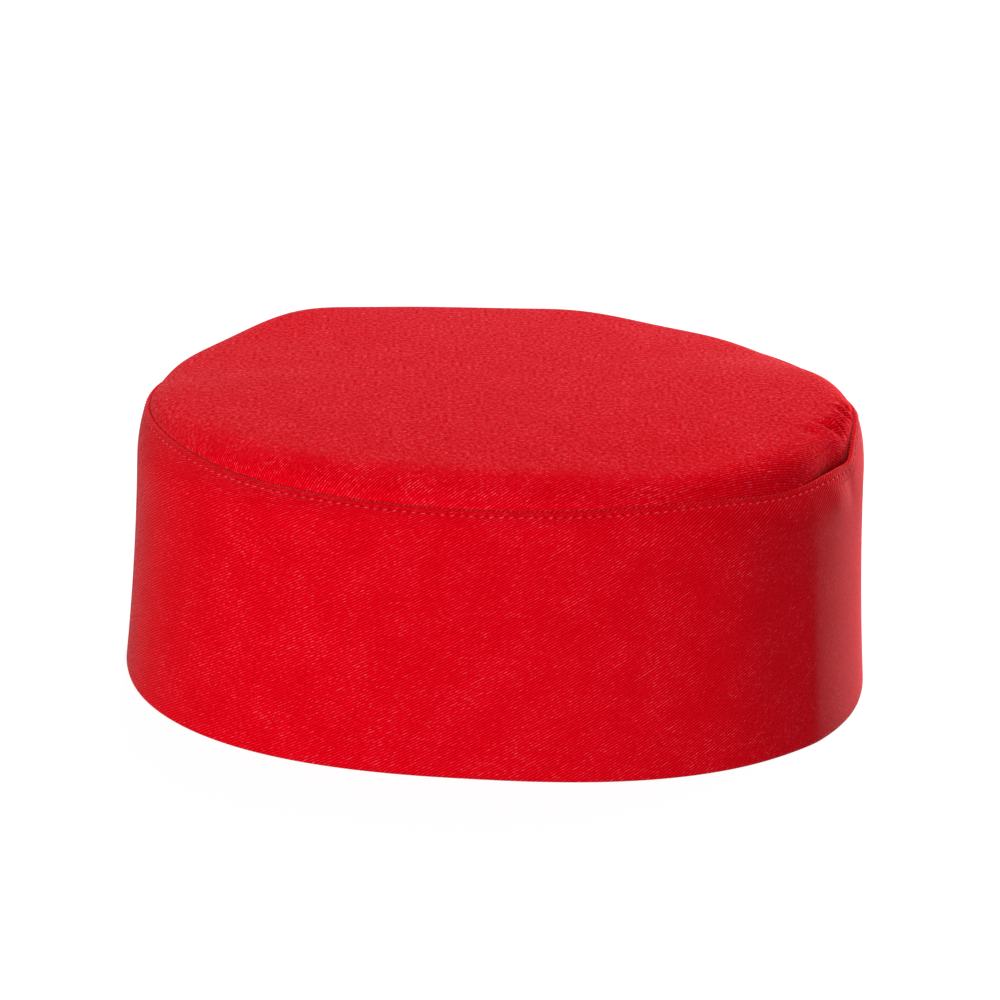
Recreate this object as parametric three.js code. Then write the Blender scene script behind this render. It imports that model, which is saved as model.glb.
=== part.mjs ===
// A skull cap of cotton twill: an oval crown panel sewn into the top of an upright band.
// Millimetres, +Z up. The cap stands on its folded rim at z = 0. Its length runs along Y,
// with the front at -Y and the centre back at +Y.
import * as THREE from 'three';

// Outer outlines of the band in plan. A fullness of 2 is an ellipse and more is squarer;
// forward and aside place the outline's middle towards the front (-Y) and towards +X.
const rim = { halfWidth: 81.7, halfLength: 97.6, fullness: 2.46, forward: 0, aside: 0 };
const body = { halfWidth: 78.4, halfLength: 94.6, fullness: 2.4, forward: 0.3, aside: 0.8 };
const seam = { halfWidth: 74.7, halfLength: 91.6, fullness: 2.2, forward: 0.4, aside: -0.7 };

// The band: a strip doubled along its lower edge, so its wall is two layers and their turnings.
const band = {
  height: 68.9,        // from the rim to the seam
  lean: -0.017,        // change of the seam's height towards +X, per millimetre of width
  wall: 1.6,
  flarePower: 2,       // how fast the flare of the rim dies away upwards
  shoulderStart: 0.88, // share of the height where the wall begins to lean in to the seam
  shoulderPower: 2.6,
  endShoulder: 0.07,   // how much lower the shoulder starts at the two ends
  endRounding: 0.6,    // how much gentler it bends there
  foldFlat: 0.6,       // width of the strip of the folded edge that touches the ground
  foldLift: 0.7,       // height of the rounding on each side of it
};

// The crown: one oval panel that rolls over at its edge and is turned down inside the band.
const crown = {
  wall: 1.1,
  rollRise: 5.3,       // of the roll's crest above the seam
  rollWidth: 9.4,      // of the roll, from its outer face in to the crest
  rollRounding: 0.715, // the smaller, the fuller the roll
  rollSteepness: 0.82, // the smaller, the steeper it rises out of the groove
  tuckSteepness: 0.08, // how much steeper it rises for each millimetre of a tuck
  tiltAcross: -0.037,  // slope of the top towards +X
  tiltAlong: -0.004,   // slope of the top towards the back
  dome: 3.84,          // of the middle above the roll's crest
  domePower: 2.5,
  sink: 0.9,           // depth of the groove between the crown's roll and the band's edge
  turning: 9,          // height of the seam allowance that hangs inside the band
  clearance: 1.1,     // between the allowance and the band's inner face
};

// Where the band's top edge rides up or dips and where it is pushed outwards. Angles are degrees
// round the cap from +X.
const seamWaves = [
  { angle: -90, spread: 9, lift: 2.4, push: 0.4 },
  { angle: -104, spread: 4, lift: -1.0, push: 1.0 },
  { angle: -106, spread: 9, lift: -1.1, push: 0.5 },
  { angle: -119, spread: 10, lift: 0, push: 0.5 },
  { angle: -122, spread: 12, lift: -1.8, push: 0 },
  { angle: -140, spread: 14, lift: 0.6, push: 0 },
  { angle: -182, spread: 18, lift: -0.6, push: 0 },
  { angle: -215, spread: 22, lift: -0.4, push: 0 },
  { angle: -244, spread: 12, lift: 0.7, push: 0 },
  { angle: -261, spread: 12, lift: 0.8, push: 0.8 },
  { angle: -280, spread: 10, lift: 0, push: 0.5 },
  { angle: -292, spread: 16, lift: -3.5, push: 0 },
];

// Where the folded rim is pulled out of its oval.
const rimWaves = [
  { angle: -106, spread: 16, push: 1.0 },
];

// Where the crown is tucked deeper behind the band's top edge, bulges out over it, leaves a gap
// behind it or has a tighter roll.
const tucks = [
  { angle: -109, spread: 8, depth: 3.0, bulge: 0.4, gap: 2.0, tight: 0 },
  { angle: -137, spread: 15, depth: 0, bulge: 0, gap: 0, tight: 3.2 },
  { angle: 96, spread: 16, depth: 0.6, bulge: 0, gap: 0, tight: 0 },
  { angle: 76, spread: 12, depth: 0, bulge: 0.8, gap: 0, tight: 0 },
];

// Soft dents in the band: where round it and how high, how far each spreads, how deep.
const bandDents = [
  { angle: -68, spread: 9, height: 22, tall: 18, depth: 0.9 },
  { angle: -127, spread: 5, height: 34, tall: 26, depth: 0.5 },
  { angle: -200, spread: 20, height: 38, tall: 22, depth: 0.8 },
  { angle: 40, spread: 22, height: 34, tall: 24, depth: 0.9 },
];

// Upright creases standing out of the band, sharp at their middle.
const bandCreases = [
  { angle: -120, spread: 6, sharp: 0.7, height: 20, tall: 34, rise: 0.8 },
];

// Where the crown's edge stands higher or lower than the rest of the top.
const crownWaves = [
  { angle: 86, spread: 10, lift: -1.7 },
  { angle: 68, spread: 13, lift: -1.2 },
  { angle: 48, spread: 13, lift: 3.2 },
  { angle: 28, spread: 13, lift: 0.9 },
  { angle: 8, spread: 13, lift: 0.5 },
  { angle: -12, spread: 13, lift: 1.4 },
  { angle: -35, spread: 13, lift: -1.4 },
  { angle: -58, spread: 13, lift: -3.5 },
  { angle: -141, spread: 16, lift: -1.6 },
];

// Gathers of the crown running in from the seam: middle is the distance from the edge to the
// deepest place, run is how far it fades on both sides.
const crownPuckers = [
  { angle: -101, spread: 2, lift: 0.6, middle: 3.4, run: 3 },
  { angle: -93, spread: 3, lift: -1.0, middle: 1.8, run: 2.4 },
];

// Places along the crown's section: how far out to the roll's crest, then how far round the
// roll in degrees, 90 at the crest and 0 in the groove.
const topShares = [0.2, 0.42, 0.63, 0.82, 1];
const rollBends = [72, 56, 40, 26, 13, 0];

// The turned allowance below the groove, as shares of its height.
const turningLevels = [0.2, 0.6, 1];

const steps = 96; // facets round the cap

const radians = THREE.MathUtils.degToRad;
const degrees = THREE.MathUtils.radToDeg;

function bell(offset, spread) {
  return Math.exp(-((offset / spread) ** 2));
}

function turnBetween(angle, row) {
  const turn = Math.abs(degrees(angle) - row.angle) % 360;
  return Math.min(turn, 360 - turn);
}

// How strongly a row of a table is felt at an angle: 1 at its own angle, fading on both sides.
function nearness(angle, row) {
  return bell(turnBetween(angle, row), row.spread);
}

function sum(rows, amount) {
  return rows.reduce((total, row) => total + amount(row), 0);
}

function waveSum(rows, name, angle) {
  return sum(rows, (row) => row[name] * nearness(angle, row));
}

function outlinePoint(outline, angle) {
  const across = Math.abs(Math.cos(angle) / outline.halfWidth) ** outline.fullness;
  const along = Math.abs(Math.sin(angle) / outline.halfLength) ** outline.fullness;
  const reach = (across + along) ** (-1 / outline.fullness);
  return new THREE.Vector2(
    reach * Math.cos(angle) + outline.aside,
    reach * Math.sin(angle) - outline.forward,
  );
}

// Everything that depends on the angle round the cap alone.
function meridianAt(angle) {
  const out = new THREE.Vector2(Math.cos(angle), Math.sin(angle));
  const seamLine = outlinePoint(seam, angle);
  const top = band.height + band.lean * seamLine.x + waveSum(seamWaves, 'lift', angle);
  const tuck = waveSum(tucks, 'depth', angle);
  const atEnd = Math.sin(angle) ** 4;
  return {
    angle,
    out,
    top,
    seam: seamLine.addScaledVector(out, waveSum(seamWaves, 'push', angle)),
    body: outlinePoint(body, angle),
    rim: outlinePoint(rim, angle).addScaledVector(out, waveSum(rimWaves, 'push', angle)),
    groove: top - crown.sink - tuck,
    steepness: crown.rollSteepness - crown.tuckSteepness * tuck,
    bulge: waveSum(tucks, 'bulge', angle),
    gap: waveSum(tucks, 'gap', angle),
    rollWidth: crown.rollWidth - waveSum(tucks, 'tight', angle),
    shoulderStart: band.shoulderStart - band.endShoulder * atEnd,
    shoulderPower: band.shoulderPower - band.endRounding * atEnd,
  };
}

function dentDepth(angle, z) {
  const dents = sum(
    bandDents,
    (row) => row.depth * nearness(angle, row) * bell(z - row.height, row.tall),
  );
  const creases = sum(bandCreases, (row) => {
    const away = Math.hypot(turnBetween(angle, row), row.sharp) - row.sharp;
    return row.rise * Math.exp(-away / row.spread) * bell(z - row.height, row.tall);
  });
  return dents - creases;
}

// A point of the band's wall: inset is the distance in from the outer face.
function bandPoint(meridian, z, inset) {
  const share = THREE.MathUtils.clamp(z / meridian.top, 0, 1);
  const flare = (1 - share) ** band.flarePower;
  const past = Math.max(0, share - meridian.shoulderStart) / (1 - meridian.shoulderStart);
  const plan = meridian.body
    .clone()
    .lerp(meridian.rim, flare)
    .lerp(meridian.seam, past ** meridian.shoulderPower)
    .addScaledVector(meridian.out, -inset - dentDepth(meridian.angle, z));
  return new THREE.Vector3(plan.x, plan.y, z);
}

// The band's section at one angle, from the top edge down outside and back up inside.
function bandSection(angle) {
  const meridian = meridianAt(angle);
  const { top } = meridian;
  const half = band.wall / 2;
  const edge = (turn, side) => {
    const bend = radians(turn);
    const height = top - half + half * Math.sin(bend);
    return bandPoint(meridian, height, half + side * half * Math.cos(bend));
  };
  const outer = [0.96, 0.92, 0.86, 0.74, 0.58, 0.42, 0.28, 0.15, 0.06];
  const inner = [0.15, 0.4, 0.68, 0.86, 0.92, 0.96];
  return [
    edge(90, -1),
    edge(50, -1),
    edge(15, -1),
    ...outer.map((share) => bandPoint(meridian, share * top, 0)),
    bandPoint(meridian, band.foldLift, 0),
    bandPoint(meridian, 0, half - band.foldFlat / 2),
    bandPoint(meridian, 0, half + band.foldFlat / 2),
    bandPoint(meridian, band.foldLift, band.wall),
    ...inner.map((share) => bandPoint(meridian, share * top, band.wall)),
    edge(15, 1),
    edge(50, 1),
  ];
}

// A point of the crown's outer face: share is how far out it lies, bend how far round the roll.
function crownPoint(meridian, share, bend) {
  const inset = band.wall + crown.clearance + meridian.gap;
  const edge = bandPoint(meridian, meridian.top - band.wall / 2, inset).setZ(meridian.groove);
  const middle = new THREE.Vector3(seam.aside, -seam.forward, meridian.groove);
  const length = edge.distanceTo(middle);
  const rolled = meridian.rollWidth * (1 - Math.cos(bend) ** crown.rollRounding);
  const inward = rolled - meridian.bulge * Math.sin(2 * bend) ** 2;
  const reach = share * (1 - inward / length);
  const point = middle.lerp(edge, reach);
  const tilt = crown.tiltAcross * point.x + crown.tiltAlong * point.y;
  const wave = waveSum(crownWaves, 'lift', meridian.angle) * reach ** 3;
  const domed = crown.dome * (1 - reach ** crown.domePower);
  const level = band.height + crown.rollRise + tilt + wave + domed;
  const fromEdge = (1 - reach) * length;
  const pucker = sum(
    crownPuckers,
    (row) => row.lift * nearness(meridian.angle, row) * bell(fromEdge - row.middle, row.run),
  );
  point.z += (level - meridian.groove) * Math.sin(bend) ** meridian.steepness;
  point.z += pucker * Math.sqrt(Math.sin(bend));
  return point;
}

// The crown's section: its outer face out and down into the band, and its inner face a wall's
// thickness behind that, back to the middle.
function crownSection(angle) {
  const meridian = meridianAt(angle);
  const hanging = (share) => {
    const inset = band.wall + crown.clearance + meridian.gap * (1 - share);
    return bandPoint(meridian, meridian.groove - share * crown.turning, inset);
  };
  const face = [
    ...topShares.map((share) => crownPoint(meridian, share, Math.PI / 2)),
    ...rollBends.map((bend) => crownPoint(meridian, 1, radians(bend))),
    ...turningLevels.map((share) => hanging(share)),
  ];
  const around = new THREE.Vector3(-Math.sin(angle), Math.cos(angle), 0);
  const inner = face.map((point, index) => {
    const before = face[Math.max(index - 1, 0)];
    const after = face[Math.min(index + 1, face.length - 1)];
    const outwards = after.clone().sub(before).cross(around).normalize();
    return point.clone().addScaledVector(outwards, -crown.wall);
  });
  return [...face, ...inner.reverse()];
}

// Skins the sections round the cap. Where a piece closes over the axis, ends holds the two
// points on it; otherwise the last point of each section joins its first.
function skin(sectionAt, ends = []) {
  const sections = [];
  for (let step = 0; step < steps; step += 1) {
    sections.push(sectionAt(((step + 0.5) / steps) * 2 * Math.PI));
  }
  const count = sections[0].length;
  const corner = (step, place) => (step % steps) * count + (place % count);
  const triangles = [];
  for (let step = 0; step < steps; step += 1) {
    for (let place = 0; place < count - ends.length / 2; place += 1) {
      const here = corner(step, place);
      const across = corner(step + 1, place + 1);
      triangles.push(here, corner(step, place + 1), across);
      triangles.push(here, across, corner(step + 1, place));
    }
    if (ends.length > 0) {
      const pole = steps * count;
      triangles.push(pole, corner(step, 0), corner(step + 1, 0));
      triangles.push(pole + 1, corner(step + 1, count - 1), corner(step, count - 1));
    }
  }
  const points = [...sections.flat(), ...ends];
  const geometry = new THREE.BufferGeometry().setFromPoints(points);
  geometry.setIndex(triangles);
  geometry.computeVertexNormals();
  return geometry;
}

function piece(name, color, geometry) {
  const material = new THREE.MeshStandardMaterial({ color, roughness: 0.85, metalness: 0 });
  const mesh = new THREE.Mesh(geometry, material);
  mesh.name = name;
  return mesh;
}

function makeBand() {
  return piece('band', 0xc8101e, skin(bandSection));
}

function makeCrown() {
  const top = band.height + crown.rollRise + crown.dome + crown.tiltAcross * seam.aside;
  const ends = [top, top - crown.wall].map(
    (height) => new THREE.Vector3(seam.aside, -seam.forward, height),
  );
  return piece('crown', 0xd21522, skin(crownSection, ends));
}

const group = new THREE.Group();
group.add(makeBand(), makeCrown());

export default group;
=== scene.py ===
import math
import random
import bpy
import bmesh
from mathutils import Matrix, Vector


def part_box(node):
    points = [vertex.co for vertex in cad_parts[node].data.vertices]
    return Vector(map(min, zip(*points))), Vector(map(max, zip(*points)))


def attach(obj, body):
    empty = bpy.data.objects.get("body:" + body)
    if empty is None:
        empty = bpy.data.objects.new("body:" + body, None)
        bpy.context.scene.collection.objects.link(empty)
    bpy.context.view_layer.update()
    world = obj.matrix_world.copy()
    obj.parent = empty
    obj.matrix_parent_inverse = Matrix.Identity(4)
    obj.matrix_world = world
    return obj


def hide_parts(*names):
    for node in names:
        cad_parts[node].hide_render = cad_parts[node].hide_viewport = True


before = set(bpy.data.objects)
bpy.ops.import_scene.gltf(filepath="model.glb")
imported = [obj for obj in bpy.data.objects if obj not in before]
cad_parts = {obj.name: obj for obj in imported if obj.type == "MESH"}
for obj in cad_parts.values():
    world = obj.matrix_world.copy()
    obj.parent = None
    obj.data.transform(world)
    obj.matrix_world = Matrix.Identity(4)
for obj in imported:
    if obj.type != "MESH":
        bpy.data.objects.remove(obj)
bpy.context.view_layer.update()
mm = 0.001
print("frame loaded")

bandLow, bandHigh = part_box("band")
rimHalfWidth = (bandHigh.x - bandLow.x) / 2
rimHalfLength = (bandHigh.y - bandLow.y) / 2

# Outer outlines of the band: half sizes as shares of the rim's, how square, where their middle is.
outlines = {
    "rim": {"wide": 1.0, "long": 0.998, "fullness": 2.46, "forward": 0.0, "aside": 0.0},
    "body": {"wide": 0.960, "long": 0.968, "fullness": 2.4, "forward": 0.3 * mm, "aside": 0.8 * mm},
    "seam": {"wide": 0.914, "long": 0.937, "fullness": 2.2, "forward": 0.4 * mm, "aside": -0.7 * mm},
}

# Where each layer of cloth lies, from the band's outer face inwards.
cloth = {
    "thickness": 0.5 * mm,
    "outer": 0.25 * mm,        # middle of the band's outer layer
    "turned": 0.80 * mm,       # middle of its turned-in top edge
    "crown": 1.09 * mm,        # outer face of the crown's edge, held inside the band
    "inner": 1.35 * mm,        # middle of the band's inner layer
    "innerTop": 2.02 * mm,     # the same, where it passes behind the crown's edge
}

form = {
    "height": 68.9 * mm,       # of the band, in the middle
    "lean": -0.017,            # slope of its top edge towards +X
    "flarePower": 2.0,         # the larger, the nearer the rim its flare stays
    "shoulderStart": 0.88,     # share of the height where it turns in to the seam
    "shoulderPower": 2.6,
    "endShoulder": 0.07,       # how much lower the shoulder starts at the two ends
    "endRounding": 0.6,
    "endPower": 4,             # the larger, the shorter the two ends
    "rollRise": 5.3 * mm,      # crest of the crown's roll above the seam
    "rollWidth": 10.5 * mm,
    "rollRounding": 0.715,     # the smaller, the fuller the roll
    "rollSteepness": 0.82,     # the smaller, the steeper it rises out of the groove
    "tuckSteepness": 0.08,     # how much steeper it rises for each mm of a tuck
    "rollLean": 0.13 * mm,
    "edgeDepth": 0.5 * mm,     # below the band's top, where the crown's edge takes its outline
    "tiltAcross": -0.037,      # slope of the crown towards +X
    "tiltAlong": -0.004,       # the same towards +Y
    "dome": 3.84 * mm,         # middle of the crown above its crest
    "domePower": 2.5,
    "wavePower": 3,            # the larger, the nearer the edge its waves stay
    "puckerPower": 0.5,
    "sink": 0.9 * mm,          # depth of the groove between crown and band
    "turning": 9.0 * mm,       # height of the crown's allowance inside the band
}

# Angles are degrees round the cap from +X, spreads are degrees, lifts and pushes are in mm.
seamWaves = [
    {"angle": -90, "spread": 9, "lift": 2.4, "push": 0.4},
    {"angle": -104, "spread": 4, "lift": -1.0, "push": 1.0},
    {"angle": -106, "spread": 9, "lift": -1.1, "push": 0.5},
    {"angle": -119, "spread": 10, "lift": 0.0, "push": 0.5},
    {"angle": -122, "spread": 12, "lift": -1.8, "push": 0.0},
    {"angle": -140, "spread": 14, "lift": 0.6, "push": 0.0},
    {"angle": -182, "spread": 18, "lift": -0.6, "push": 0.0},
    {"angle": -204, "spread": 18, "lift": -0.3, "push": 0.0},
    {"angle": -226, "spread": 14, "lift": -0.3, "push": 0.0},
    {"angle": -244, "spread": 12, "lift": 0.7, "push": 0.0},
    {"angle": -261, "spread": 12, "lift": 0.8, "push": 1.1},
    {"angle": 80, "spread": 10, "lift": 0.0, "push": 0.5},
    {"angle": 68, "spread": 16, "lift": -3.5, "push": 0.0},
]

rimWaves = [
    {"angle": -106, "spread": 16, "push": 1.0},
]

# Where the crown is tucked deeper behind the band's edge, bulges out over it, leaves a gap or rolls
# over more tightly.
tucks = [
    {"angle": -108, "spread": 7, "depth": 3.2, "bulge": 0.4, "gap": 2.1, "tight": 0.0},
    {"angle": -137, "spread": 15, "depth": 0.0, "bulge": 0.0, "gap": 0.0, "tight": 3.5},
    {"angle": 178, "spread": 28, "depth": -0.65, "bulge": 0.0, "gap": 0.0, "tight": 0.0},
    {"angle": 96, "spread": 16, "depth": 0.6, "bulge": 0.0, "gap": 0.0, "tight": 0.0},
    {"angle": 76, "spread": 12, "depth": 0.0, "bulge": 0.8, "gap": 0.0, "tight": 0.0},
]

# Soft dents in the band: angle, height in mm, their spreads, depth in mm.
bandDents = [
    {"angle": -68, "height": 22, "spread": 9, "tall": 18, "depth": 0.9},
    {"angle": -112, "height": 62, "spread": 3, "tall": 4, "depth": -0.5},
    {"angle": -106, "height": 61, "spread": 2, "tall": 5, "depth": 0.5},
    {"angle": -127, "height": 34, "spread": 5, "tall": 26, "depth": 0.5},
    {"angle": -200, "height": 38, "spread": 20, "tall": 22, "depth": 0.8},
    {"angle": 40, "height": 34, "spread": 22, "tall": 24, "depth": 0.9},
]

# Upright creases standing out of the band, sharp at their middle.
bandCreases = [
    {"angle": -120, "spread": 6, "sharp": 0.7, "height": 20, "tall": 34, "rise": 0.8},
]

crownWaves = [
    {"angle": 86, "spread": 10, "lift": -2.2},
    {"angle": 68, "spread": 13, "lift": -1.4},
    {"angle": 48, "spread": 13, "lift": 3.2},
    {"angle": 28, "spread": 13, "lift": 0.9},
    {"angle": 8, "spread": 13, "lift": 0.5},
    {"angle": -12, "spread": 13, "lift": 1.4},
    {"angle": -35, "spread": 13, "lift": -1.4},
    {"angle": -58, "spread": 13, "lift": -3.5},
    {"angle": -141, "spread": 16, "lift": -1.6},
]

# Gathers of the crown running in from the seam: middle is its distance from the edge and run how
# far it fades on both sides, in mm.
crownPuckers = [
    {"angle": -106.8, "spread": 2.0, "lift": -0.9, "middle": 5.8, "run": 2.5},
    {"angle": -102.3, "spread": 0.8, "lift": -0.9, "middle": 4.6, "run": 3.0},
    {"angle": -100.8, "spread": 0.65, "lift": 1.2, "middle": 3.4, "run": 3.0},
    {"angle": -99.5, "spread": 0.6, "lift": -1.4, "middle": 2.8, "run": 2.8},
    {"angle": -98.2, "spread": 0.5, "lift": 0.3, "middle": 3.4, "run": 2.0},
    {"angle": -96.8, "spread": 0.6, "lift": 1.0, "middle": 2.6, "run": 2.4},
    {"angle": -95.4, "spread": 0.6, "lift": -0.9, "middle": 2.6, "run": 2.6},
    {"angle": -93.0, "spread": 1.0, "lift": -1.5, "middle": 1.8, "run": 2.2},
    {"angle": -91.6, "spread": 0.6, "lift": 0.6, "middle": 4.0, "run": 2.6},
    {"angle": -89.3, "spread": 1.2, "lift": -1.6, "middle": 1.4, "run": 2.2},
]


def bell(offset, width):
    return math.exp(-((offset / width) ** 2))


def turnBetween(angle, degrees):
    turn = abs(math.degrees(angle) - degrees) % 360
    return min(turn, 360 - turn)


def nearness(angle, row):
    return bell(turnBetween(angle, row["angle"]), row["spread"])


def waveSum(rows, key, angle):
    return sum(row[key] * nearness(angle, row) for row in rows) * mm


def evenly(first, last, count):
    return [first + (last - first) * step / (count - 1) for step in range(count)]


def outlinePoint(name, angle):
    line = outlines[name]
    across = abs(math.cos(angle) / (line["wide"] * rimHalfWidth)) ** line["fullness"]
    along = abs(math.sin(angle) / (line["long"] * rimHalfLength)) ** line["fullness"]
    reach = (across + along) ** (-1 / line["fullness"])
    return Vector((reach * math.cos(angle) + line["aside"], reach * math.sin(angle) - line["forward"]))


# Everything that depends on the angle round the cap alone.
class Meridian:
    def __init__(self, angle):
        self.angle = angle
        self.out = Vector((math.cos(angle), math.sin(angle)))
        seam = outlinePoint("seam", angle)
        self.top = form["height"] + form["lean"] * seam.x + waveSum(seamWaves, "lift", angle)
        self.seam = seam + self.out * waveSum(seamWaves, "push", angle)
        self.rim = outlinePoint("rim", angle) + self.out * waveSum(rimWaves, "push", angle)
        self.body = outlinePoint("body", angle)
        self.wave = waveSum(crownWaves, "lift", angle)
        self.puckers = [(row, row["lift"] * nearness(angle, row) * mm) for row in crownPuckers]
        tuck = waveSum(tucks, "depth", angle)
        self.steepness = form["rollSteepness"] - form["tuckSteepness"] * tuck / mm
        self.groove = self.top - form["sink"] - tuck
        self.bulge = waveSum(tucks, "bulge", angle)
        self.gap = waveSum(tucks, "gap", angle)
        self.rollWidth = form["rollWidth"] - waveSum(tucks, "tight", angle)
        self.dents = [(row, row["depth"] * nearness(angle, row) * mm) for row in bandDents]
        for row in bandCreases:
            turn = turnBetween(angle, row["angle"])
            away = math.hypot(turn, row["sharp"]) - row["sharp"]
            self.dents.append((row, -row["rise"] * mm * math.exp(-away / row["spread"])))
        atEnd = math.sin(angle) ** form["endPower"]
        self.shoulderStart = form["shoulderStart"] - form["endShoulder"] * atEnd
        self.shoulderPower = form["shoulderPower"] - form["endRounding"] * atEnd

    def bandPoint(self, z, inset):
        share = min(max(z / self.top, 0), 1)
        flare = (1 - share) ** form["flarePower"]
        past = max(0, share - self.shoulderStart) / (1 - self.shoulderStart)
        dent = sum(depth * bell(z / mm - row["height"], row["tall"]) for row, depth in self.dents)
        plan = self.body.lerp(self.rim, flare).lerp(self.seam, past ** self.shoulderPower)
        plan = plan - self.out * (inset + dent)
        return Vector((plan.x, plan.y, z))

    def crownPoint(self, share, bend):
        edge = self.bandPoint(self.top - form["edgeDepth"], cloth["crown"] + self.gap)
        edge.z = self.groove
        middle = Vector((outlines["seam"]["aside"], -outlines["seam"]["forward"], self.groove))
        length = (edge - middle).length
        inward = self.rollWidth * (1 - math.cos(bend) ** form["rollRounding"])
        inward += form["rollLean"] * math.sin(2 * bend) - self.bulge * math.sin(2 * bend) ** 2
        reach = share * (1 - inward / length)
        point = middle.lerp(edge, reach)
        level = form["height"] + form["rollRise"]
        level += form["tiltAcross"] * point.x + form["tiltAlong"] * point.y
        level += self.wave * reach ** form["wavePower"] + form["dome"] * (1 - reach ** form["domePower"])
        raised = math.sin(bend) ** self.steepness
        point.z = self.groove + (level - self.groove) * raised
        fromEdge = (1 - reach) * length / mm
        lift = sum(lift * bell(fromEdge - row["middle"], row["run"]) for row, lift in self.puckers)
        point.z += lift * math.sin(bend) ** form["puckerPower"]
        return point

    def turningPoint(self, drop):
        gap = self.gap * (1 - drop / form["turning"])
        return self.bandPoint(self.groove - drop, cloth["crown"] + gap)


# Angles round the cap from the back, closer together near the crowded ones.
def angleSteps(count, crowded):
    marks = [math.radians(mark / 10) for mark in range(3601)]
    total = [0.0]
    for mark in marks[:-1]:
        total.append(total[-1] + 1 + sum(row["extra"] * nearness(mark, row) for row in crowded))
    steps = []
    place = 0
    for step in range(count):
        goal = total[-1] * (step + 0.5) / count
        while total[place + 1] < goal:
            place += 1
        part = (goal - total[place]) / (total[place + 1] - total[place])
        steps.append(marks[place] + part * (marks[place + 1] - marks[place]))
    return steps


# An output socket that can be used in sums.
class Wire:
    def __init__(self, board, socket):
        self.board = board
        self.socket = socket

    def calc(self, operation, *others, turned=False):
        values = [*others, self] if turned else [self, *others]
        return self.board.node("ShaderNodeMath", {"operation": operation}, dict(enumerate(values)))

    def __add__(self, other):
        return self.calc("ADD", other)

    def __radd__(self, other):
        return self.calc("ADD", other)

    def __sub__(self, other):
        return self.calc("SUBTRACT", other)

    def __rsub__(self, other):
        return self.calc("SUBTRACT", other, turned=True)

    def __mul__(self, other):
        return self.calc("MULTIPLY", other)

    def __rmul__(self, other):
        return self.calc("MULTIPLY", other)

    def __truediv__(self, other):
        return self.calc("DIVIDE", other)

    def __pow__(self, other):
        return self.calc("POWER", other)

    def wave(self):
        return self.calc("COSINE") * 0.5 + 0.5


class Board:
    def __init__(self, name):
        self.material = bpy.data.materials.new(name)
        self.material.use_nodes = True
        self.tree = self.material.node_tree
        self.tree.nodes.clear()

    def node(self, kind, settings=None, values=None, output=0):
        made = self.tree.nodes.new(kind)
        for key, value in (settings or {}).items():
            if key == "stops":
                while len(made.color_ramp.elements) < len(value):
                    made.color_ramp.elements.new(0.5)
                for stop, (place, colour) in zip(made.color_ramp.elements, value):
                    stop.position = place
                    stop.color = colour
            else:
                setattr(made, key, value)
        for key, value in (values or {}).items():
            if isinstance(value, Wire):
                self.tree.links.new(value.socket, made.inputs[key])
            else:
                made.inputs[key].default_value = value
        return Wire(self, made.outputs[output]) if len(made.outputs) else None

    def mixColour(self, share, first, second):
        values = {0: share, 6: first, 7: second}
        return self.node("ShaderNodeMix", {"data_type": "RGBA"}, values, output=2)

    def noise(self, where, scale, detail):
        return self.node("ShaderNodeTexNoise", {}, {"Vector": where, "Scale": scale, "Detail": detail})

    def bump(self, height):
        return self.node("ShaderNodeBump", {}, {"Strength": 1.0, "Distance": 1.0 * mm, "Height": height})

    def finish(self, values):
        surface = self.node("ShaderNodeBsdfPrincipled", {}, values)
        self.node("ShaderNodeOutputMaterial", {}, {"Surface": surface})
        return self.material


# The cloth's threads, and the noise in its colour, whose scales are per metre of cloth.
weave = {
    "endSpacing": 0.1855 * mm,
    "pickSpacing": 0.3162 * mm,
    "repeat": 4,
    "streakAlong": 900.0,       # broken painted shine along the ribs
    "streakAcross": 2600.0,
    "streakShare": 1.1,
    "steadyShare": 0.1,
    "grainScale": 2600.0,
    "fleckScale": 950.0,
    "cloudScale": 90.0,
    "speckFleck": 7.0,          # how flecks and grain break the painted sheen up into specks
    "speckGrain": 5.0,
    "speckCut": 5.0,
    "roughness": 0.9,
}

stitching = {
    "drop": 1.2 * mm,           # below the band's top edge
    "dip": {"angle": -107, "spread": 6, "further": 0.55},   # where the row runs further from the edge
    "pitch": 2.48 * mm,         # along the flat band
    "length": 1.25 * mm,
    "thick": 0.27 * mm,
    "slant": 19,
    "slantStray": 8,
    "lengthStray": 0.14,
    "bow": 0.16 * mm,           # how far its ends dip into the cloth
    "bowLevel": 0.35,
    "clear": 0.02 * mm,         # from the cloth to the middle of the thread
    "sink": 0.12 * mm,          # how far the row pulls the cloth in
    "sinkWide": 0.5 * mm,
    "seed": 7,
    "sides": 8,
    "rings": 6,
    "holeShade": -0.6,
    "holeTall": 0.28 * mm,
    "holeDepth": 0.2,
    "holePower": 4,             # the larger, the shorter the holes along the row
}

bandCloth = {
    # The pale pink top stop, reached mostly on the ribs' crests, is painted sheen; the dark low stops,
    # mostly in the grooves between them, are painted shade.
    "stops": [
        (0.0, (0.53, 0.0, 0.001, 1)),
        (0.5, (0.755, 0.0, 0.007, 1)),
        (0.72, (0.86, 0.008, 0.028, 1)),
        (1.0, (0.96, 0.160, 0.190, 1)),
    ],
    "waleTone": 0.70, "grainTone": 0.5, "cloudTone": 0.25, "baseTone": -0.155, "fleckTone": 0.0,
    "waleHeight": 0.10, "grainHeight": 0.06,
    # the painted sheen: pale pink mixed into the colour where the cloth is seen edge-on
    "paintedSheen": 0.15, "paintedSheenPower": 8.0, "paintedSheenColour": (1, 0.36, 0.40, 1),
    "sheen": 0.19, "sheenRoughness": 0.35, "sheenTint": (1, 0.8, 0.8, 1),
}

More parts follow.
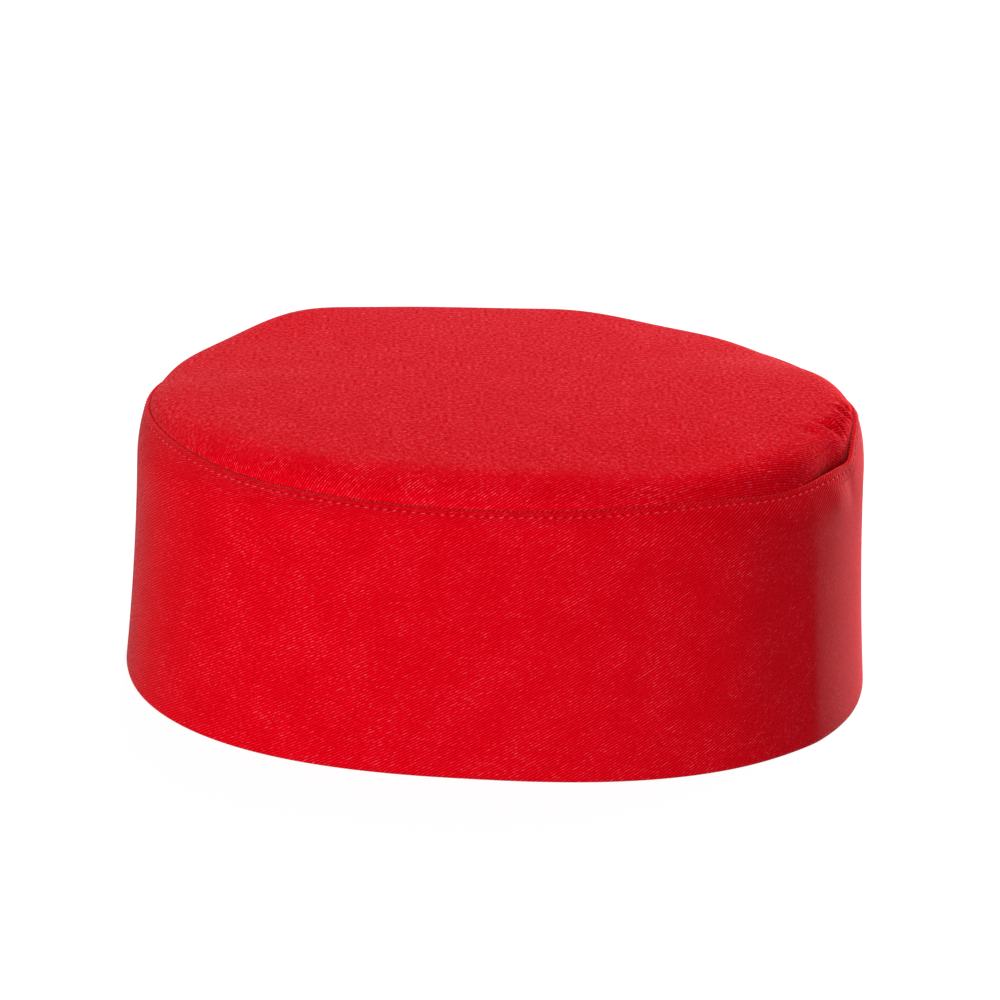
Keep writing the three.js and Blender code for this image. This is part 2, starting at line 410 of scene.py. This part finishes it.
crownCloth = dict(bandCloth)
crownCloth.update({
    "fleckTone": 0.5, "baseTone": -0.38, "waleTone": 0.6, "grainTone": 0.6, "grainHeight": 0.08,
    "paintedSheen": 0.14, "paintedSheenPower": 3.6, "sheen": 0.04,
})


# Needle holes between the stitches of a row, where painted shade darkens the cloth: its line is a place
# on v, its pitch runs on u.
def needleHoles(u, v, row):
    beat = (u * (2 * math.pi / row["pitch"])).wave() ** stitching["holePower"]
    near = (v - row["line"]) / stitching["holeTall"]
    return beat * (near * near * -1).calc("EXPONENT")


# Red twill: ribs leaning to the right, broken painted shine, flecks, and a painted sheen in specks where
# the cloth is seen edge-on.
def twillMaterial(name, settings, stitchRow=None):
    board = Board(name)
    uv = board.node("ShaderNodeUVMap", {"uv_map": "cloth"})
    u = board.node("ShaderNodeSeparateXYZ", {}, {0: uv}, output=0)
    v = board.node("ShaderNodeSeparateXYZ", {}, {0: uv}, output=1)
    lean = math.atan2(weave["endSpacing"], weave["pickSpacing"])
    along = (u * math.cos(lean) + v * math.sin(lean)) * weave["streakAlong"]
    across = (v * math.cos(lean) - u * math.sin(lean)) * weave["streakAcross"]
    turned = board.node("ShaderNodeCombineXYZ", {}, {0: along, 1: across})
    streak = board.noise(turned, 1.0, 1.0) * weave["streakShare"] + weave["steadyShare"]
    threads = v / weave["endSpacing"] - u / weave["pickSpacing"]
    wale = (threads * (2 * math.pi / weave["repeat"])).wave()
    grain = board.noise(uv, weave["grainScale"], 2.0)
    fleck = board.noise(uv, weave["fleckScale"], 1.5)
    cloud = board.noise(uv, weave["cloudScale"], 2.0)
    # The ribs' tone paints sheen on their crests and shade in their grooves, besides the random tone of
    # grain, flecks and clouds.
    tone = wale * streak * settings["waleTone"] + grain * settings["grainTone"]
    tone = tone + fleck * settings["fleckTone"] + cloud * settings["cloudTone"] + settings["baseTone"]
    height = wale * settings["waleHeight"] + grain * settings["grainHeight"]
    if stitchRow:
        holes = needleHoles(u, v, stitchRow)
        # Painted shade in the needle holes, which the bump also dips.
        tone = tone + holes * stitching["holeShade"]
        height = height - holes * stitching["holeDepth"]
    colour = board.node("ShaderNodeValToRGB", {"stops": settings["stops"]}, {0: tone})
    facing = board.node("ShaderNodeLayerWeight", {}, {"Blend": 0.5}, output=1)
    # Painted sheen: the base colour turns pale pink in specks where the cloth is seen edge-on.
    sheenSpecks = fleck * weave["speckFleck"] + grain * weave["speckGrain"] - weave["speckCut"]
    paintedSheen = facing ** settings["paintedSheenPower"] * sheenSpecks.calc("MAXIMUM", 0.0) * settings["paintedSheen"]
    return board.finish({
        "Base Color": board.mixColour(paintedSheen, colour, settings["paintedSheenColour"]),
        "Normal": board.bump(height),
        "Roughness": weave["roughness"],
        "Specular IOR Level": 0.0,
        "Sheen Weight": settings["sheen"],
        "Sheen Roughness": settings["sheenRoughness"],
        "Sheen Tint": settings["sheenTint"],
    })


threadCotton = {
    # The thread's stops are lighter and pinker than the cloth's red: partly painted sheen on thread of
    # the same red.
    "stops": [(0.3, (0.86, 0.010, 0.030, 1)), (0.7, (1.0, 0.085, 0.125, 1))],
    "patchScale": 1500.0, "patchHeight": 0.05,
    "roughness": 0.7, "specular": 0.2,
    "sheen": 0.1, "sheenRoughness": 0.4, "sheenTint": (1, 0.8, 0.8, 1),
}


def threadMaterial():
    board = Board("threadCotton")
    where = board.node("ShaderNodeTexCoord", output=3)
    patch = board.noise(where, threadCotton["patchScale"], 2.0)
    return board.finish({
        "Base Color": board.node("ShaderNodeValToRGB", {"stops": threadCotton["stops"]}, {0: patch}),
        "Normal": board.bump(patch * threadCotton["patchHeight"]),
        "Roughness": threadCotton["roughness"],
        "Specular IOR Level": threadCotton["specular"],
        "Sheen Weight": threadCotton["sheen"],
        "Sheen Roughness": threadCotton["sheenRoughness"],
        "Sheen Tint": threadCotton["sheenTint"],
    })


# Draws a sheet out ring by ring from a circle; grid[turn][row] says where each point goes.
def ringSheet(grid):
    bm = bmesh.new()
    turnLayer = bm.verts.layers.int.new("turn")
    rowLayer = bm.verts.layers.int.new("row")
    made = bmesh.ops.create_circle(bm, cap_ends=False, segments=len(grid), radius=1.0)
    ordered = sorted(made["verts"], key=lambda v: math.atan2(v.co.y, v.co.x) % (2 * math.pi))
    for turn, vert in enumerate(ordered):
        vert[turnLayer] = turn
        vert.co = grid[turn][0]
    edges = list(bm.edges)
    for row in range(1, len(grid[0])):
        drawn = bmesh.ops.extrude_edge_only(bm, edges=edges)["geom"]
        for vert in (part for part in drawn if isinstance(part, bmesh.types.BMVert)):
            vert[rowLayer] = row
            vert.co = grid[vert[turnLayer]][row]
        edges = [part for part in drawn if isinstance(part, bmesh.types.BMEdge)]
        edges = [edge for edge in edges if all(v[rowLayer] == row for v in edge.verts)]
    return bm, turnLayer, rowLayer


# Writes each corner's place on the flat cloth, in metres, to the UV map. A strip joined into a ring
# gives its number of turns as joinedAt, so that its last faces end at its full length.
def layUv(bm, turnLayer, rowLayer, spot, joinedAt=0):
    layer = bm.loops.layers.uv.new("cloth")
    for face in bm.faces:
        turns = [vert[turnLayer] for vert in face.verts]
        atJoin = max(turns) - min(turns) > joinedAt / 2 > 0
        for loop in face.loops:
            turn = loop.vert[turnLayer]
            if atJoin and turn < joinedAt / 2:
                turn += joinedAt
            loop[layer].uv = spot(turn, loop.vert[rowLayer])


def finishPiece(name, bm, material):
    bmesh.ops.recalc_face_normals(bm, faces=bm.faces)
    for face in bm.faces:
        face.smooth = True
    mesh = bpy.data.meshes.new(name)
    bm.to_mesh(mesh)
    bm.free()
    piece = bpy.data.objects.new(name, mesh)
    bpy.context.scene.collection.objects.link(piece)
    mesh.materials.append(material)
    return piece


def thicken(piece, offset):
    wall = piece.modifiers.new("wall", "SOLIDIFY")
    wall.thickness = cloth["thickness"]
    wall.offset = offset
    wall.use_even_offset = True


bandPiece = {
    "turns": 430,
    "crowded": [
        {"angle": -112, "spread": 16, "extra": 1.6},
        {"angle": 0, "spread": 1.5, "extra": 4.0},
    ],
    # rows of the cloth: drops are mm below the top edge, shares are of the height; where three
    # numbers stand they are the first, the last and how many
    "turnedDrops": (8.0, 6.0, 4.0, 2.0, 1.0),
    "topTurns": (20, 55, 90, 125, 160),
    "stitchedDrops": (0.7, 2.2, 9),
    "shoulderDrops": (3.9, 7.5, 5),
    "faceShares": (0.87, 0.03, 38),
    "rimTurns": (0, 36, 72, 108, 144, 180),
    "innerShares": (0.05, 0.66, 9),
    "innerDrops": (22, 0.7, 12),
    "innerEase": 13 * mm,       # how far down the inner layer stays behind the crown's edge
    "innerEaseOver": 9 * mm,
    "joinDepth": 0.35 * mm,     # of the valley along the join at the back
    "joinWidth": 0.55 * mm,
}


def stitchDrop(line):
    return stitching["drop"] * (1 + stitching["dip"]["further"] * nearness(line.angle, stitching["dip"]))


def innerInset(drop):
    eased = min(max((drop - bandPiece["innerEase"]) / bandPiece["innerEaseOver"], 0), 1)
    eased = eased * eased * (3 - 2 * eased)
    return cloth["innerTop"] + (cloth["inner"] - cloth["innerTop"]) * eased


# Rows of the band's cloth, from its turned-in top edge over the outer face, round the rim and up
# inside, as (measured from, level, inset from the outer face).
def bandRows():
    half = cloth["thickness"] / 2
    outer, turned, inner = cloth["outer"], cloth["turned"], cloth["inner"]
    rows = [("top", drop * mm, turned) for drop in bandPiece["turnedDrops"]]
    radius = (turned - outer) / 2
    for turn in bandPiece["topTurns"]:
        bend = math.radians(turn)
        across = (turned + outer) / 2 + radius * math.cos(bend)
        rows.append(("top", half + radius - radius * math.sin(bend), across))
    for drop in evenly(*bandPiece["stitchedDrops"]):
        pull = stitching["sink"] * bell(drop * mm - stitching["drop"], stitching["sinkWide"])
        rows.append(("stitched", drop * mm, outer + pull))
    rows += [("top", drop * mm, outer) for drop in evenly(*bandPiece["shoulderDrops"])]
    rows += [("share", share, outer) for share in evenly(*bandPiece["faceShares"])]
    radius = (inner - outer) / 2
    for turn in bandPiece["rimTurns"]:
        bend = math.radians(turn)
        across = (inner + outer) / 2 - radius * math.cos(bend)
        rows.append(("floor", half + radius - radius * math.sin(bend), across))
    rows += [("share", share, inner) for share in evenly(*bandPiece["innerShares"])]
    rows += [("top", drop * mm, innerInset(drop * mm)) for drop in evenly(*bandPiece["innerDrops"])]
    return rows


def joinInset(line):
    arc = turnBetween(line.angle, 0) * math.pi / 180 * rimHalfWidth
    return bandPiece["joinDepth"] * bell(arc, bandPiece["joinWidth"])


def bandSpot(line, kind, level, inset):
    heights = {
        "top": line.top - level,
        "stitched": line.top - level * stitchDrop(line) / stitching["drop"],
        "share": line.top * level,
        "floor": level,
    }
    if inset < cloth["turned"]:
        inset += joinInset(line)
    if inset > cloth["inner"]:
        inset += line.gap * (inset - cloth["inner"]) / (cloth["innerTop"] - cloth["inner"])
    return line.bandPoint(heights[kind], inset)


# The stitches' place on the flat cloth: the row at their drop, and a pitch that closes the ring.
def findStitchRow(rows, along, across):
    row = next(row for row, (kind, level, _) in enumerate(rows)
               if kind == "stitched" and level >= stitching["drop"])
    count = round(along[-1] / stitching["pitch"])
    line = across[row] + rows[row][1] - stitching["drop"]
    return {"line": line, "pitch": along[-1] / count, "count": count}


def makeBand():
    meridians = [Meridian(angle) for angle in angleSteps(bandPiece["turns"], bandPiece["crowded"])]
    rows = bandRows()
    grid = [[bandSpot(line, *row) for row in rows] for line in meridians]
    along = [0.0]
    for line, following in zip(meridians, meridians[1:] + meridians[:1]):
        along.append(along[-1] + (following.body - line.body).length)
    across = [0.0]
    for spot, following in zip(grid[0], grid[0][1:]):
        across.append(across[-1] - (following - spot).length)
    stitchRow = findStitchRow(rows, along, across)
    bm, turnLayer, rowLayer = ringSheet(grid)
    layUv(bm, turnLayer, rowLayer, lambda turn, row: (along[turn], across[row]), len(grid))
    print("band", len(bm.faces), "faces, length", round(along[-1], 4), "cut", round(-across[-1], 4))
    piece = finishPiece("band_cloth", bm, twillMaterial("bandTwill", bandCloth, stitchRow))
    thicken(piece, 0)
    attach(piece, "root")
    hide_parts("band")
    return piece, meridians, along, stitchRow


# The thread lies on the band's outer face, and inside on its inner layer.
def threadInset(line, inside):
    if inside:
        return cloth["innerTop"] + line.gap + cloth["thickness"] / 2 + stitching["clear"]
    return -stitching["clear"]


# A row of short threads lying on the cloth, all in one mesh.
def makeStitches(meridians, along, stitchRow):
    bm = bmesh.new()
    mould = bpy.data.meshes.new("stitchMould")
    chance = random.Random(stitching["seed"])
    turn = 0
    for stitch in range(stitchRow["count"]):
        goal = (stitch + 0.5) * stitchRow["pitch"]
        while along[turn + 1] < goal:
            turn += 1
        part = (goal - along[turn]) / (along[turn + 1] - along[turn])
        first = meridians[turn]
        second = meridians[(turn + 1) % len(meridians)]
        for inside in (False, True):
            spots = [line.bandPoint(line.top - stitchDrop(line), threadInset(line, inside))
                     for line in (first, second)]
            middle = spots[0].lerp(spots[1], part)
            run = (spots[1] - spots[0]).normalized()
            out = run.cross(Vector((0, 0, 1))).normalized()
            slant = math.radians(stitching["slant"] + chance.uniform(-1, 1) * stitching["slantStray"])
            run = Matrix.Rotation(slant, 3, out) @ run
            length = stitching["length"] * (1 + chance.uniform(-1, 1) * stitching["lengthStray"])
            addStitch(bm, mould, middle, run, -out if inside else out, length)
    bpy.data.meshes.remove(mould)
    print("stitching", stitchRow["count"] * 2, "stitches,", len(bm.faces), "faces")
    piece = finishPiece("stitching", bm, threadMaterial())
    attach(piece, "root")
    return piece


# One thread seen between two holes: a long bead, its ends bowed down into the cloth.
def addStitch(bm, mould, middle, run, face, length):
    halfThick = stitching["thick"] / 2
    turned = Matrix((run, face.cross(run), face)).transposed().to_4x4()
    size = Matrix.Diagonal((length / 2, halfThick, halfThick, 1))
    onSide = Matrix.Rotation(math.pi / 2, 4, "Y")
    place = Matrix.Translation(middle) @ turned @ size @ onSide
    stitch = bmesh.new()
    segments = {"u_segments": stitching["sides"], "v_segments": stitching["rings"]}
    made = bmesh.ops.create_uvsphere(stitch, **segments, radius=1, matrix=place)
    for vert in made["verts"]:
        along = (vert.co - middle).dot(run) / (length / 2)
        vert.co -= face * stitching["bow"] * (along * along - stitching["bowLevel"])
    stitch.to_mesh(mould)
    stitch.free()
    bm.from_mesh(mould)


crownPiece = {
    "turns": 600,
    "crowded": [{"angle": -103, "spread": 20, "extra": 1.4}],
    "topShares": (0.02, 1.0, 20),   # from the middle out to the roll's crest: first, last, how many
    "rollBends": (88, 0, 36),       # from the crest down to the groove, in degrees
    "turningDrops": (0.3, 0.8, 1.6, 3, 5, 7, 9),
    "grain": -85,                   # which way its ribs run, in degrees
}


def makeCrown():
    meridians = [Meridian(angle) for angle in angleSteps(crownPiece["turns"], crownPiece["crowded"])]
    middle = Vector((outlines["seam"]["aside"], -outlines["seam"]["forward"]))
    grid = []
    arcs = []
    for line in meridians:
        spots = [line.crownPoint(share, math.pi / 2) for share in evenly(*crownPiece["topShares"])]
        spots += [line.crownPoint(1, math.radians(bend)) for bend in evenly(*crownPiece["rollBends"])]
        spots += [line.turningPoint(drop * mm) for drop in crownPiece["turningDrops"]]
        arc = [(spots[0].xy - middle).length]
        for spot, following in zip(spots, spots[1:]):
            arc.append(arc[-1] + (following - spot).length)
        grid.append(spots)
        arcs.append(arc)

    def flatSpot(turn, row):
        angle = meridians[turn].angle - math.radians(crownPiece["grain"])
        return (arcs[turn][row] * math.cos(angle), arcs[turn][row] * math.sin(angle))

    bm, turnLayer, rowLayer = ringSheet(grid)
    firstRing = [edge for edge in bm.edges if all(vert[rowLayer] == 0 for vert in edge.verts)]
    bmesh.ops.contextual_create(bm, geom=firstRing)
    layUv(bm, turnLayer, rowLayer, flatSpot)
    print("crown", len(bm.faces), "faces")
    piece = finishPiece("crown_cloth", bm, twillMaterial("crownTwill", crownCloth))
    thicken(piece, -1)
    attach(piece, "root")
    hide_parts("crown")
    return piece


band, bandMeridians, bandAlong, stitchRow = makeBand()
crown = makeCrown()
stitches = makeStitches(bandMeridians, bandAlong, stitchRow)


# Angles in degrees; the camera stands back from the aim, moved a little to the right and up.
studio = {
    "azimuth": -86.56, "elevation": 21.75, "distance": 1.0469, "roll": -1.507,
    "aim": (0.0, 0.0, 40 * mm), "rightBy": 0.2637 * mm, "upBy": 2.4528 * mm,
    "lens": 142.898, "sensor": 36,
    "world": 0.21, "reach": 3.0, "floorShade": 0.2, "glow": 0.92, "sky": 0.94,
}

# Square softboxes: azimuth from the camera's, elevation, distance and size in metres.
lights = [
    {"name": "keyLeft", "azimuth": -40, "elevation": 6, "distance": 1.3, "size": 0.6, "watts": 11.0},
    {"name": "keyFront", "azimuth": 0, "elevation": 6, "distance": 1.3, "size": 0.6, "watts": 6.8},
    {"name": "overhead", "azimuth": -70, "elevation": 50, "distance": 1.3, "size": 0.6, "watts": 0.5},
    {"name": "backRight", "azimuth": 140, "elevation": 50, "distance": 1.3, "size": 0.6, "watts": 3.7},
    {"name": "back", "azimuth": 168, "elevation": 50, "distance": 1.3, "size": 0.6, "watts": 10.2},
    {"name": "card", "azimuth": 120, "elevation": -2, "distance": 0.25, "size": 0.07, "watts": 0.55},
]


def towards(azimuth, elevation):
    a, e = math.radians(azimuth), math.radians(elevation)
    return Vector((math.sin(a) * math.cos(e), -math.cos(a) * math.cos(e), math.sin(e)))


def makeCamera():
    back = towards(studio["azimuth"], studio["elevation"])
    right = Vector((0, 0, 1)).cross(back).normalized()
    up = back.cross(right)
    aim = Vector(studio["aim"]) + right * studio["rightBy"] + up * studio["upBy"]
    camera = bpy.data.objects.new("camera", bpy.data.cameras.new("camera"))
    camera.data.sensor_width = studio["sensor"]
    camera.data.lens = studio["lens"]
    turn = (-back).to_track_quat("-Z", "Y").to_matrix().to_4x4()
    roll = Matrix.Rotation(math.radians(-studio["roll"]), 4, "Z")
    camera.matrix_world = Matrix.Translation(aim + back * studio["distance"]) @ turn @ roll
    bpy.context.scene.collection.objects.link(camera)
    bpy.context.scene.camera = camera


def makeLight(row):
    back = towards(row["azimuth"] + studio["azimuth"], row["elevation"])
    light = bpy.data.objects.new(row["name"], bpy.data.lights.new(row["name"], "AREA"))
    light.data.shape = "SQUARE"
    light.data.size = row["size"]
    light.data.energy = row["watts"]
    light.visible_camera = False
    light.location = back * row["distance"] + Vector(studio["aim"])
    light.rotation_euler = (-back).to_track_quat("-Z", "Y").to_euler()
    bpy.context.scene.collection.objects.link(light)


def paper(name, shade, glow):
    return Board(name).finish({
        "Base Color": (shade, shade, shade, 1), "Roughness": 0.9, "Specular IOR Level": 0.0,
        "Emission Color": (1, 1, 1, 1), "Emission Strength": glow,
    })


def makeStudio():
    world = bpy.data.worlds.new("studio")
    bpy.context.scene.world = world
    world.use_nodes = True
    world.node_tree.nodes["Background"].inputs["Color"].default_value = (1, 1, 1, 1)
    world.node_tree.nodes["Background"].inputs["Strength"].default_value = studio["world"]
    bpy.context.scene.view_settings.view_transform = "Standard"
    bm = bmesh.new()
    bmesh.ops.create_grid(bm, x_segments=1, y_segments=1, size=studio["reach"])
    floor = finishPiece("floor", bm, paper("floorPaper", studio["floorShade"], studio["glow"]))
    floor.visible_diffuse = False
    bm = bmesh.new()
    bmesh.ops.create_icosphere(bm, subdivisions=4, radius=studio["reach"])
    sky = finishPiece("backdrop", bm, paper("backdropPaper", 0.0, studio["sky"]))
    sky.visible_diffuse = False
    sky.visible_glossy = False
    sky.visible_shadow = False
    for row in lights:
        makeLight(row)
    print("studio made")


makeCamera()
makeStudio()
